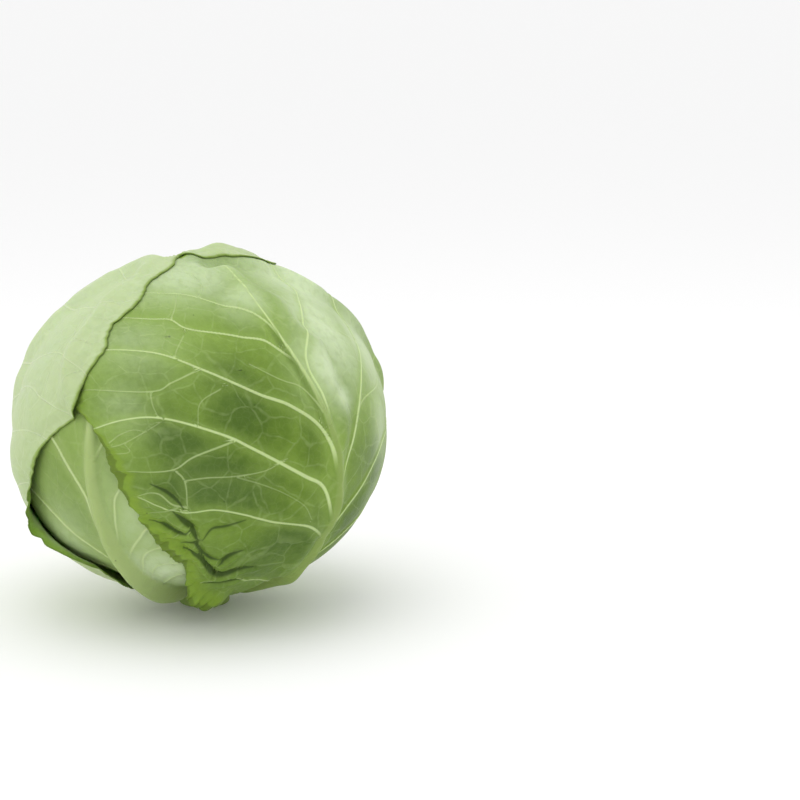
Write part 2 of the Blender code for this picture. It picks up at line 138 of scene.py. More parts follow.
# Wrapper leaves from the innermost out. Turns and reaches are degrees on the flat leaf: an outline point is
# (turn, reach), a ruffle (turn, half width, metres, waved), a frill (turn, half width, metres, mm of bright
# margin), a flare (turn, half width, share, reach). Drawn veins are (strength, points), folds (metres, mm,
# points), wax patches with painted sheen, and dark patches of deeper green with painted shade (u, v, two
# radii, share).
leaves = [
    {
        "node": "wrapper_leaf_5", "cells": 120, "seed": 5,
        "azimuth": 13, "middle": 93, "sway": (3, 0, -5), "rib": 1.0, "heel": 0.0,
        "outline": [
            (-172, 82), (-150, 70), (-118, 70), (-80, 76), (-30, 80), (25, 78), (80, 74), (120, 70),
            (150, 72), (172, 82),
        ],
        "ruffles": [],
        "notch": 0.5,
        "frills": [],
        "flares": [],
        "swells": [],
        "drawn": [],
        "grown": (1, -1),
        "folds": [],
        "waxAndSheen": [(0, 0, 60, 40, 0.3)],
        "deepGreenAndShade": [(-10, 30, 30, 20, 0.4)],
        "ribShade": 0.3,
    },
    {
        "node": "wrapper_leaf_4", "cells": 156, "seed": 4,
        "azimuth": 235, "middle": 92, "sway": (1, -2, 0), "rib": 1.35, "heel": 0.5,
        "outline": [
            (-172, 82), (-150, 72), (-118, 70), (-80, 74), (-30, 76), (25, 78), (80, 80), (120, 76),
            (150, 76), (172, 82),
        ],
        "ruffles": [],
        "notch": 0.5,
        "frills": [],
        "flares": [],
        "swells": [(-28, -42, 12, 10, 0.0012), (-45, -31, 12, 10, 0.0014)],
        "drawn": [
            (1.0, [(-34, -2), (-24, -3), (-13, -4), (-2, -12), (4, -19), (16, -40), (22, -68)]),
            (1.0, [(-52, 0), (-40, -5), (-30, -15), (-23, -23), (-16, -34), (-10, -52), (-8, -70)]),
            (0.9, [(-66, 0), (-50, -12), (-42, -24), (-38, -40), (-40, -60)]),
            (0.7, [(-52, 2), (-40, 2), (-29, 4), (-18, 6), (-11, 8), (-4, 16), (4, 34), (10, 74)]),
            (0.75, [(-50, 2), (-39, 4), (-33, 7), (-27, 12), (-21, 18), (-12, 34), (-4, 60)]),
            (0.65, [(-50, 4), (-35, 11), (-30, 20), (-26, 34), (-22, 66)]),
            (0.6, [(-56, 4), (-42, 12), (-39, 24), (-38, 60)]),
            (0.7, [(-58, 6), (-47, 20), (-48, 44)]),
            (0.8, [(-8, -2), (8, 6), (22, 20), (36, 44)]),
        ],
        "grown": (),
        "folds": [],
        "waxAndSheen": [(-22, 15, 20, 12, 0.5), (-44, 14, 14, 13, 1.0), (-34, -22, 16, 12, 0.45)],
        "deepGreenAndShade": [(-10, -16, 16, 12, 0.5), (-62, 0, 10, 14, 0.9)],
        "ribShade": 0.2,
    },
    {
        "node": "wrapper_leaf_3", "cells": 130, "seed": 3,
        "azimuth": 96, "middle": 92, "sway": (-4, 0, 6), "rib": 1.1, "heel": 0.0,
        "outline": [
            (-172, 82), (-152, 68), (-122, 66), (-86, 74), (-40, 86), (0, 90), (30, 86), (70, 76),
            (115, 70), (150, 70), (172, 82),
        ],
        "ruffles": [(-100, 45, 0.0024, 1)],
        "notch": 0.6,
        "frills": [(-100, 45, 0.0008, 5.0)],
        "flares": [],
        "swells": [],
        "drawn": [],
        "grown": (1, -1),
        "folds": [],
        "waxAndSheen": [(20, 0, 60, 40, 0.35)],
        "deepGreenAndShade": [(-20, -30, 30, 20, 0.5)],
        "ribShade": 0.3,
    },
    {
        "node": "wrapper_leaf_2", "cells": 196, "seed": 2,
        "azimuth": -45, "middle": 92, "sway": (1, -13, 2), "rib": 0.95, "heel": 0.0,
        "outline": [
            (-175, 82), (-166, 69), (-157, 68), (-149, 69), (-143, 66), (-137, 62), (-130, 60),
            (-117, 62), (-106, 66), (-94, 70), (-86, 72), (-78, 78), (-72, 90), (-60, 93), (-35, 92),
            (5, 86), (60, 82), (92, 76), (125, 70), (150, 70), (172, 82),
        ],
        "ruffles": [(-110, 40, 0.0024, 1), (-157, 11, 0.0042, 0)],
        "notch": 0.8,
        "frills": [(-96, 16, 0.0005, 3.0), (-120, 20, 0.0008, 7.0), (-148, 14, 0.0014, 8.0)],
        "flares": [(-154, 13, 1.0, 8.0), (-118, 14, 0.5, 3.0), (20, 90, 1.0, 40.0)],
        "swells": [],
        "drawn": [
            # side veins on the left, from the base up
            (
                0.75,
                [
                    (-46, 2), (-36, 0), (-28, -3), (-22, -11), (-21, -20), (-17, -32), (-15, -41), (-16, -50),
                    (-12, -64),
                ],
            ),
            (
                1.0,
                [
                    (-30, 0), (-20, -3), (-10, -8), (-5, -16), (4, -30), (9, -38), (16, -54), (17, -65),
                    (14, -78),
                ],
            ),
            (1.0, [(-14, -2), (-5, -4), (3, -6), (11, -12), (22, -28), (31, -40), (41, -53), (48, -72)]),
            (0.8, [(12, -6), (20, -8), (29, -12), (39, -22), (47, -38), (53, -42), (56, -48), (64, -62)]),
            (0.7, [(26, -10), (36, -12), (43, -14), (50, -18), (63, -30), (69, -39), (76, -52)]),
            (0.45, [(6, -5), (14, -8), (20, -12), (23, -18), (30, -25)]),
            # and on the right
            (0.85, [(-20, -1), (-10, 0), (1, 7), (17, 18), (33, 36), (44, 41), (58, 50)]),
            (0.8, [(0, -4), (15, -5), (25, -7), (33, -3), (50, 13), (57, 21), (68, 24), (78, 28)]),
            (0.8, [(-30, 1), (-19, 11), (-5, 28), (-1, 45), (4, 74)]),
            (0.5, [(4, 9), (12, 17), (15, 38), (22, 60)]),
            (0.8, [(-44, 2), (-34, 16), (-28, 40), (-24, 72)]),
            (0.7, [(-58, 2), (-54, 16), (-52, 30), (-54, 46)]),
            (0.7, [(-56, 0), (-50, -14), (-48, -28), (-52, -36)]),
            # branches
            (0.5, [(31, -41), (28, -50), (26, -57), (31, -80)]),
            (0.4, [(26, -57), (21, -57), (17, -56)]),
            (0.4, [(24, -35), (20, -43), (13, -45)]),
            (0.55, [(7, -35), (3, -47), (-1, -53), (-2, -62), (-2, -71)]),
            (0.5, [(-1, -53), (-5, -50), (-14, -49)]),
            (0.45, [(-5, -51), (-4, -44), (-4, -36), (-3, -26), (0, -20)]),
            (0.35, [(-4, -36), (-8, -26), (-14, -15), (-20, -10)]),
            (0.4, [(46, -40), (38, -46), (34, -44)]),
            (0.4, [(53, -42), (58, -38), (64, -34)]),
            (0.4, [(8, -73), (11, -69), (13, -64), (12, -60)]),
            (0.4, [(6, -76), (8, -68), (13, -59), (16, -54)]),
            (0.4, [(4, -74), (5, -66), (8, -67)]),
            (0.5, [(-15, -48), (-13, -53), (-9, -58), (-12, -65)]),
            (0.4, [(-14, -51), (-18, -60), (-20, -64)]),
            (0.4, [(-22, -46), (-27, -53), (-28, -58)]),
            (0.35, [(60, -28), (66, -22), (74, -20)]),
            (0.35, [(30, 33), (36, 22), (44, 12)]),
        ],
        "grown": (),
        "folds": [
            (0.0016, 0.50, [(-6, -60), (-9, -55), (-12, -52), (-15, -50)]),
            (0.0024, 0.80, [(-16, -53), (-19, -50), (-22, -47), (-28, -44)]),
            (0.0018, 0.60, [(-21, -60), (-22, -55), (-25, -50), (-22, -47)]),
            (0.0018, 0.60, [(-29, -49), (-28, -45), (-34, -41), (-36, -35)]),
            (0.0015, 0.50, [(-39, -35), (-34, -33), (-31, -29)]),
            (0.0026, 0.90, [(-31, -48), (-34, -43), (-41, -37), (-44, -32), (-41, -27), (-40, -22)]),
            (0.0010, 0.35, [(-27, -43), (-22, -41), (-21, -37), (-19, -31)]),
            (0.0014, 0.45, [(-52, -35), (-50, -28), (-48, -22)]),
        ],
        "waxAndSheen": [
            (40, 14, 22, 17, 1.0), (25, 0, 12, 10, 1.0), (60, 27, 24, 25, 1.0), (15, 4, 5, 7, 0.9),
            (30, 36, 22, 16, 0.9), (4, 28, 14, 8, 0.6), (74, -22, 17, 26, 0.8), (54, -14, 10, 10, 0.7),
            (46, -58, 14, 16, 0.35), (22, -66, 14, 8, 0.25),
        ],
        "deepGreenAndShade": [
            (14, -30, 18, 17, 0.95), (-1, -42, 13, 20, 0.95), (8, -50, 12, 14, 0.8), (-12, -26, 15, 20, 0.75),
            (-28, 16, 18, 14, 1.0), (-12, 24, 14, 10, 0.8), (-42, 30, 22, 24, 1.0), (-30, -18, 18, 22, 0.7),
            (4, -13, 16, 7, 0.7), (40, -22, 14, 9, 0.3),
        ],
        "ribShade": 0.85,
    },
    {
        "node": "wrapper_leaf_1", "cells": 180, "seed": 1,
        "azimuth": 152, "middle": 95, "sway": (3, 0, 6), "rib": 1.1, "heel": 0.0,
        "outline": [
            (-172, 82), (-150, 72), (-120, 70), (-90, 74), (-60, 84), (-30, 98), (-16, 104), (-9, 103),
            (-3, 95), (2, 88), (10, 84), (30, 83), (48, 80), (62, 79), (70, 78), (77, 75), (84, 66),
            (95, 61), (105, 56), (114, 58), (124, 60), (133, 76), (150, 82), (172, 82),
        ],
        "ruffles": [(108, 34, 0.0022, 1), (109, 19, 0.0038, 0), (124, 9, 0.0028, 0), (25, 50, -0.0009, 0)],
        "notch": 0.45,
        "frills": [(116, 16, 0.0012, 5.0)],
        "flares": [(117, 14, 0.75, 2.6)],
        "swells": [],
        "drawn": [
            (0.58, [(34, 2), (41, 22), (49, 33), (56, 43), (62, 47), (66, 48), (72, 52)]),
            (0.58, [(4, 0), (14, 16), (22, 32), (32, 47), (34, 62), (33, 71), (32, 78)]),
            (0.56, [(-14, 0), (2, 18), (15, 40), (16, 55), (16, 73), (14, 84)]),
            (0.55, [(-30, 0), (-10, 20), (2, 49), (3, 62), (0, 74)]),
            (0.55, [(-46, 0), (-28, 22), (-16, 50), (-18, 66)]),
            (0.55, [(52, 4), (60, 12), (66, 26), (78, 34)]),
            (0.4, [(32, 47), (40, 46), (47, 40), (54, 41)]),
            (0.35, [(16, 55), (24, 52), (32, 48)]),
            (0.35, [(2, 49), (8, 46), (15, 41)]),
            (0.3, [(33, 66), (26, 64), (20, 70), (16, 70)]),
            (0.3, [(44, 62), (40, 54), (33, 55)]),
        ],
        "grown": (-1,),
        "folds": [],
        "waxAndSheen": [(40, 20, 60, 60, 0.7), (0, 20, 30, 40, 0.5)],
        "deepGreenAndShade": [(-24, 60, 16, 18, 0.5)],
        "ribShade": 0.0,
    },
]


def leafAxes(leaf):
    azimuth = math.radians(leaf["azimuth"])
    middle = math.radians(leaf["middle"])
    outward = np.array([math.cos(azimuth), math.sin(azimuth), 0.0])
    sideways = np.array([-math.sin(azimuth), math.cos(azimuth), 0.0])
    centre = math.cos(middle) * downward + math.sin(middle) * outward
    tipward = -math.sin(middle) * downward + math.cos(middle) * outward
    return centre, tipward, sideways


def directionOf(leaf, u, v):  # flat leaf to directions from the head's centre
    centre, tipward, sideways = leafAxes(leaf)
    reach = np.radians(np.hypot(u, v))
    turn = np.arctan2(v, u)
    spread = np.cos(turn)[:, None] * tipward + np.sin(turn)[:, None] * sideways
    return np.cos(reach)[:, None] * centre + np.sin(reach)[:, None] * spread


def flatOf(leaf, direction):  # the other way round
    centre, tipward, sideways = leafAxes(leaf)
    reach = np.degrees(np.arccos(np.clip(direction @ centre, -1.0, 1.0)))
    turn = np.arctan2(direction @ sideways, direction @ tipward)
    return reach * np.cos(turn), reach * np.sin(turn)


def veinNumber(turn):
    ends = [end for start, end in leafForm["sideVeins"]][::-1]
    return np.interp(np.abs(turn), ends, range(len(ends)))


def marginReach(leaf, turn):
    wholeTurn = np.arange(360.0)
    angles, reaches = zip(*leaf["outline"])
    ring = np.interp(wholeTurn, np.array(angles) % 360, reaches, period=360)
    smoothing = leafForm["marginSmoothing"]
    window = np.hanning(2 * smoothing + 1)
    ring = np.concatenate([ring[-smoothing:], ring, ring[:smoothing]])
    ring = np.convolve(ring, window / window.sum(), mode="valid")
    lobes = leafForm["lobe"] * np.cos(2.0 * np.pi * veinNumber(turn))
    return np.interp(turn % 360, wholeTurn, ring, period=360) + lobes


def insideMargin(leaf, u, v):
    return marginReach(leaf, np.degrees(np.arctan2(v, u))) - np.hypot(u, v)


def ribSway(leaf, u):
    atBase, atMiddle, atTip = leaf["sway"]
    nearBase = np.exp(-(((u - leafForm["baseSwayAt"]) / leafForm["baseSwaySpread"]) ** 2))
    nearMiddle = np.exp(-(((u - leafForm["middleSwayAt"]) / leafForm["middleSwaySpread"]) ** 2))
    nearTip = ease((u - leafForm["tipSwayFrom"]) / leafForm["tipSwayLength"])
    return atBase * nearBase + atMiddle * nearMiddle + atTip * nearTip


def ribSize(leaf, u):
    left = np.clip(1.0 - (u - leafForm["base"]) / leafForm["ribLength"], 0.0, 1.0)
    heel = leaf["heel"] * np.exp(-(((u - leafForm["base"]) / leafForm["heelLength"]) ** 2))
    swell = leaf["rib"] * (1.0 + heel)
    height = swell * leafForm["ribHeight"] * left ** leafForm["ribHeightTaper"]
    halfWidth = swell * leafForm["ribHalfWidth"] * left ** leafForm["ribWidthTaper"]
    return height, halfWidth + leafForm["ribTipHalfWidth"]


def marginLift(leaf, u, v, waves=True):
    inside = insideMargin(leaf, u, v)
    turn = np.degrees(np.arctan2(v, u))
    lift = leafForm["edgeLift"] * (1.0 - ease(inside / leafForm["edgeWidth"]))
    for where, halfWidth, height, waved in leaf["ruffles"]:
        away = (turn - where + 180.0) % 360.0 - 180.0
        share = height * np.exp(-((away / halfWidth) ** 2))
        if waves and waved:
            share *= 0.5 - 0.5 * np.cos(2.0 * np.pi * veinNumber(turn))
        lift += share * (1.0 - ease(inside / (2.0 * leafForm["edgeWidth"])))
    return lift


def stackHeight(direction, leafCount):  # how high the leaves underneath reach over the heart
    height = np.zeros(len(direction))
    for leaf in leaves[:leafCount]:
        u, v = flatOf(leaf, direction)
        cover = ease(1.0 + insideMargin(leaf, u, v) / headForm["edgeFade"])
        ribHeight, halfWidth = ribSize(leaf, u)
        fromRib = (v - ribSway(leaf, u)) / (headForm["bulgeWidth"] * halfWidth + headForm["bulgeMargin"])
        bulge = headForm["bulgeHeight"] * ribHeight * np.exp(-(fromRib**2))
        room = headForm["layerGap"] + headForm["leafRoom"] + headForm["veinRoom"]
        height += cover * (room + bulge + marginLift(leaf, u, v, waves=False))
    return height


def settle(points):  # only the stem touches what the head stands on
    room = headForm["settleRange"] - headForm["lowestLeaf"]
    low = points[:, 2] < headForm["settleRange"]
    points[low, 2] = headForm["lowestLeaf"] + room * np.exp((points[low, 2] - headForm["settleRange"]) / room)
    return points


# Widths are full widths in mm at the start and end of a vein of strength 1, heights are in metres
veinForm = {
    "widths": (1.7, 0.6),
    "heights": (0.0011, 0.0003),
    "step": 1.0,                # degrees between points of a smooth vein
    "linkStrength": 0.42,
    "linksPerBand": 4,
    "linkWander": 2.2,
    "reach": 9.0,               # mm that the distance to a vein is kept for
    "flank": 2.2,               # foot of the ridge over the drawn vein's half width
    "ridgeFrom": 0.6,           # weaker veins are lines without a ridge
    "fadeIn": 9.0,              # degrees over which a ridged vein grows out of what it leaves
    "faintStart": 0.15,         # its share of colour where it starts
    "leastHalf": 0.16,          # mm, half the width of the thinnest line
    "beside": -0.3,             # mm from the side of the rib's line, where a drawn vein may start
}


def smoothPath(points):  # a smooth line through a few points
    points = np.array(points, float)
    ends = np.concatenate([2 * points[:1] - points[1:2], points, 2 * points[-1:] - points[-2:-1]])
    path = []
    for before, start, end, after in zip(ends, ends[1:], ends[2:], ends[3:]):
        count = max(2, round(np.hypot(*(end - start)) / veinForm["step"]))
        t = np.linspace(0.0, 1.0, count, endpoint=False)[:, None]
        square = 2 * before - 5 * start + 4 * end - after
        cube = 3 * start - before - 3 * end + after
        path.append(start + 0.5 * ((end - before) * t + square * t**2 + cube * t**3))
    return np.concatenate(path + [points[-1:]])


def sideVeinPath(leaf, number, side, rng):
    start, turn = leafForm["sideVeins"][number]
    turn = side * turn + rng.uniform(-2.0, 2.0)
    reach = 0.985 * marginReach(leaf, np.array([turn]))[0]
    end = np.array([reach * math.cos(math.radians(turn)), reach * math.sin(math.radians(turn))])
    start = np.array([start, ribSway(leaf, np.array([start]))[0]])
    bow = leafForm["veinBow"] * rng.uniform(0.6, 1.3)
    path = []
    for share in (0.0, 0.25, 0.5, 0.75, 1.0):
        wander = rng.uniform(-1.2, 1.2, 2) * (0.0 < share < 1.0)
        path.append(start + (end - start) * share + (bow * 4.0 * share * (1.0 - share), 0.0) + wander)
    return smoothPath(path)


def linkVeins(lower, upper, rng):  # a ladder of thin veins between two side veins, with a wandering midline
    links = []
    middles = []
    count = veinForm["linksPerBand"]
    for number in range(count):
        share = (number + rng.uniform(0.5, 1.0)) / (count + 0.3)
        start = lower[int(share * (len(lower) - 1))]
        end = upper[int(min(share + rng.uniform(-0.06, 0.06), 1.0) * (len(upper) - 1))]
        wander = rng.uniform(-1, 1, 2) * veinForm["linkWander"]
        middle = start + (end - start) * rng.uniform(0.35, 0.65) + wander
        middles.append(middle)
        links.append(smoothPath([start, middle, end]))
    for start, end in zip(middles, middles[1:]):
        middle = (start + end) / 2.0 + rng.uniform(-1, 1, 2) * veinForm["linkWander"]
        links.append(smoothPath([start, middle, end]))
    return links


def leafVeins(leaf):  # every vein of a leaf: strength and path
    rng = np.random.default_rng(leaf["seed"])
    veins = []
    for strength, points in leaf["drawn"]:
        path = smoothPath(points)
        outside = np.flatnonzero(ribDistance(leaf, *path.T) > veinForm["beside"])
        first = 1 if strength < veinForm["ridgeFrom"] else 0
        veins.append((strength, path[max(outside[0] - 1, first):]))  # a vein begins beside what it leaves
    for side in leaf["grown"]:
        band = []
        for number in range(1, len(leafForm["sideVeins"]) - 1):
            path = sideVeinPath(leaf, number, side, rng)
            veins.append((1.0 - 0.04 * number, path))
            band.append(path)
        for lower, upper in zip(band, band[1:]):
            veins += [(veinForm["linkStrength"], link) for link in linkVeins(lower, upper, rng)]
    return veins


def nearestOn(path, u, v):  # place along the path and the offset from it, in degrees
    point = np.column_stack([u, v])
    best = np.full(len(u), np.inf)
    spot = np.zeros(len(u))
    offset = np.zeros((len(u), 2))
    for number, (start, end) in enumerate(zip(path, path[1:])):
        run = end - start
        share = np.clip((point - start) @ run / max(run @ run, 1e-9), 0.0, 1.0)
        away = point - start - share[:, None] * run
        distance = np.hypot(away[:, 0], away[:, 1])
        closer = distance < best
        best[closer] = distance[closer]
        spot[closer] = number + share[closer]
        offset[closer] = away[closer]
    return spot / (len(path) - 1), offset


def near(path, u, v, reach):
    low, high = path.min(0) - reach, path.max(0) + reach
    return np.flatnonzero((u > low[0]) & (u < high[0]) & (v > low[1]) & (v < high[1]))


def veinField(veins, u, v):
    side = np.full(len(u), veinForm["reach"])       # mm to the nearest vein's side, below 0 on the vein
    across = np.tile([veinForm["reach"], 0.0, 0.0], (len(u), 1))  # mm to its middle line, and half its width
    power = np.zeros(len(u))
    ridge = np.zeros(len(u))
    for strength, path in veins:
        spots = near(path, u, v, veinForm["reach"] / headForm["mmPerDegree"])
        if not len(spots):
            continue
        along, offset = nearestOn(path, u[spots], v[spots])
        offset *= headForm["mmPerDegree"]
        distance = np.hypot(offset[:, 0], offset[:, 1])
        first, last = veinForm["widths"]
        halfWidth = np.maximum(0.5 * strength * (first + (last - first) * along), veinForm["leastHalf"])
        first, last = veinForm["heights"]
        start = np.ones(len(spots))
        if strength >= veinForm["ridgeFrom"]:
            foot = 1.0 - (distance / (veinForm["flank"] * halfWidth + 0.5)) ** 2
            rise = strength * (first + (last - first) * along) * np.clip(foot, 0.0, 1.0) ** 2
            ridge[spots] = np.maximum(ridge[spots], rise)
            grown = ease(along * len(path) * veinForm["step"] / veinForm["fadeIn"])
            start = veinForm["faintStart"] + (1.0 - veinForm["faintStart"]) * grown
        nearer = distance - halfWidth < side[spots]
        chosen = spots[nearer]
        side[chosen] = (distance - halfWidth)[nearer]
        across[chosen] = np.column_stack([offset, halfWidth])[nearer]
        power[chosen] = strength * start[nearer]
    return side, across, power, ridge


def ribDistance(leaf, u, v):  # mm to the side of the rib's pale line
    places, halfWidths = zip(*leafForm["ribLine"])
    base, tip = places[0], places[-1]
    path = smoothPath([(place, ribSway(leaf, np.array([place]))[0]) for place in range(base, tip + 1, 6)])
    along, offset = nearestOn(path, u, v)
    distance = np.hypot(offset[:, 0], offset[:, 1]) * headForm["mmPerDegree"]
    return distance - leaf["rib"] * np.interp(base + (tip - base) * along, places, halfWidths)


def foldField(leaf, u, v):  # crumples: a swelling with a sharp groove along its middle
    height = np.zeros(len(u))
    across = np.tile([9.0, 0.0, 0.0], (len(u), 1))
    for rise, wide, points in leaf["folds"]:
        path = smoothPath(points)
        spots = near(path, u, v, 9.0)
        along, offset = nearestOn(path, u[spots], v[spots])
        offset *= headForm["mmPerDegree"]
        distance = np.hypot(offset[:, 0], offset[:, 1])
        deep = np.sin(np.pi * np.clip(along, 0.04, 0.96)) ** 0.6
        run = (path[-1] - path[0]) / np.hypot(*(path[-1] - path[0]))
        over = np.sign(offset @ (-run[1], run[0])) * distance       # above 0 on the side that folds over
        swell = 1.1 * np.exp(-(((over - 2.6) / 2.6) ** 2))
        swell -= 1.2 * np.exp(-(((over + 0.6) / 1.3) ** 2))
        height[spots] += rise * deep * swell * np.exp(-((distance / 7.0) ** 4))
        closer = distance < np.hypot(across[spots, 0], across[spots, 1])
        across[spots[closer]] = np.column_stack([offset, wide * deep])[closer]
    return height, across


def swells(leaf, u, v):  # soft bulges of the blade
    height = np.zeros(len(u))
    for atU, atV, radiusU, radiusV, rise in leaf["swells"]:
        height += rise * np.exp(-(((u - atU) / radiusU) ** 2) - ((v - atV) / radiusV) ** 2)
    return height


def spread(patches, u, v):  # soft oval patches: middle, two radii and share
    share = np.zeros(len(u))
    for atU, atV, radiusU, radiusV, strength in patches:
        patch = np.exp(-(((u - atU) / radiusU) ** 2) - ((v - atV) / radiusV) ** 2)
        share = np.maximum(share, strength * patch)
    return share


def frill(leaf, turn):  # height in metres, and mm of bright margin
    height = np.full(len(turn), 0.0003)
    width = np.full(len(turn), 2.0)
    for where, halfWidth, rise, bright in leaf["frills"]:
        away = (turn - where + 180.0) % 360.0 - 180.0
        share = np.exp(-((away / halfWidth) ** 2))
        height += rise * share
        width += bright * share
    return height, width


def lobes(leaf, turn):  # round small lobes with sharp notches between them, 0 to 1
    phase = turn / leafForm["lobeTurn"] + 2.2 * marginCloud(turn, 5.0, leaf["seed"])
    return np.abs(np.sin(np.pi * phase))


def discPoint(x, y):  # square grid to disc with even cells: turn in radians and share of the reach
    flip = np.abs(y) > np.abs(x)
    big, small = np.where(flip, y, x), np.where(flip, x, y)
    angle = np.pi / 4.0 * small / np.where(big == 0, 1.0, big)
    turn = np.where(flip, np.pi / 2.0 - angle, angle) + np.where(big < 0, np.pi, 0.0)
    return turn, np.abs(big)


def fineReach(leaf, turn):  # the margin with its small lobes and cuts
    uneven = np.clip(0.6 + 1.2 * marginCloud(turn, 8.0, 10.0 + leaf["seed"]), 0.0, 1.4)
    small = 0.9 * marginCloud(turn, 24.0, 20.0 + leaf["seed"]) + 0.5 * marginCloud(turn, 60.0, leaf["seed"])
    return marginReach(leaf, turn) + leaf["notch"] * (uneven * (lobes(leaf, turn) - 0.7) + small)


def laidDown(leaf, turn, inside):  # how far a margin is pressed down, less where it flares
    depth = leafForm["press"] * (1.0 - ease(inside / leafForm["pressWidth"]))
    for where, halfWidth, share, reach in leaf["flares"]:
        away = (turn - where + 180.0) % 360.0 - 180.0
        depth *= 1.0 - share * np.exp(-((away / halfWidth) ** 4)) * (1.0 - ease(inside / reach))
    return depth


def freeSurface(leaf, order, u, v, direction, ridge, fold, side):  # inner radius and thickness unpressed
    turn = np.degrees(np.arctan2(v, u))
    inside = np.maximum(fineReach(leaf, turn) - np.hypot(u, v), 0.0)
    wave = leafForm["waviness"] * (cloud(direction, 0.22) - 1.0)
    sink = leafForm["sink"] * np.exp(-((np.maximum(side, 0.0) / leafForm["sinkWidth"]) ** 2))
    frillHeight = frill(leaf, turn)[0]
    uneven = cloud(np.column_stack([u, v, 0.0 * u]), 3.6, 40.0 + leaf["seed"])
    ripple = frillHeight * (1.0 - ease(inside / leafForm["frillWidth"]))
    ripple *= 1.1 * lobes(leaf, turn) + uneven - 0.4
    inner = heartRadius(direction) + stackHeight(direction, order) + headForm["layerGap"]
    inner += marginLift(leaf, u, v) + wave - sink + fold + ripple + swells(leaf, u, v)
    ribHeight, halfWidth = ribSize(leaf, u)
    fromRib = np.clip(np.abs(v - ribSway(leaf, u)) / halfWidth, 0.0, 1.0)
    thick = leafForm["marginThickness"]
    thick = thick + (leafForm["bladeThickness"] - thick) * ease(inside / leafForm["thinOver"])
    ribRise = ribHeight * (1.0 - fromRib**2) ** 2
    rise = thick + (ribRise**3 + (ridge * ease(inside / 4.0)) ** 3) ** (1.0 / 3.0)
    return inner, rise


def leafSurface(order, direction):  # inner and outer radius along directions, and what lies there
    leaf = leaves[order]
    u, v = flatOf(leaf, direction)
    side, across, power, ridge = veinField(leafVeins(leaf), u, v)
    fold, foldAcross = foldField(leaf, u, v)
    inner, rise = freeSurface(leaf, order, u, v, direction, ridge, fold, side)
    turn = np.degrees(np.arctan2(v, u))
    inside = fineReach(leaf, turn) - np.hypot(u, v)
    depth = laidDown(leaf, turn, np.maximum(inside, 0.0))
    pressed = np.flatnonzero(depth > 0.00002)
    below = np.zeros(len(pressed))
    for lower in range(order):
        under = insideMargin(leaves[lower], *flatOf(leaves[lower], direction[pressed])) > -1.5
        if under.any():
            spots = np.flatnonzero(under)
            lowInner, lowRise = leafSurface(lower, direction[pressed][spots])[:2]
            below[spots] = np.maximum(below[spots], lowInner + lowRise + leafForm["contact"])
    lowered = inner[pressed] - depth[pressed]
    inner[pressed] = np.maximum(lowered, below)
    return inner, rise, side, across, power, foldAcross


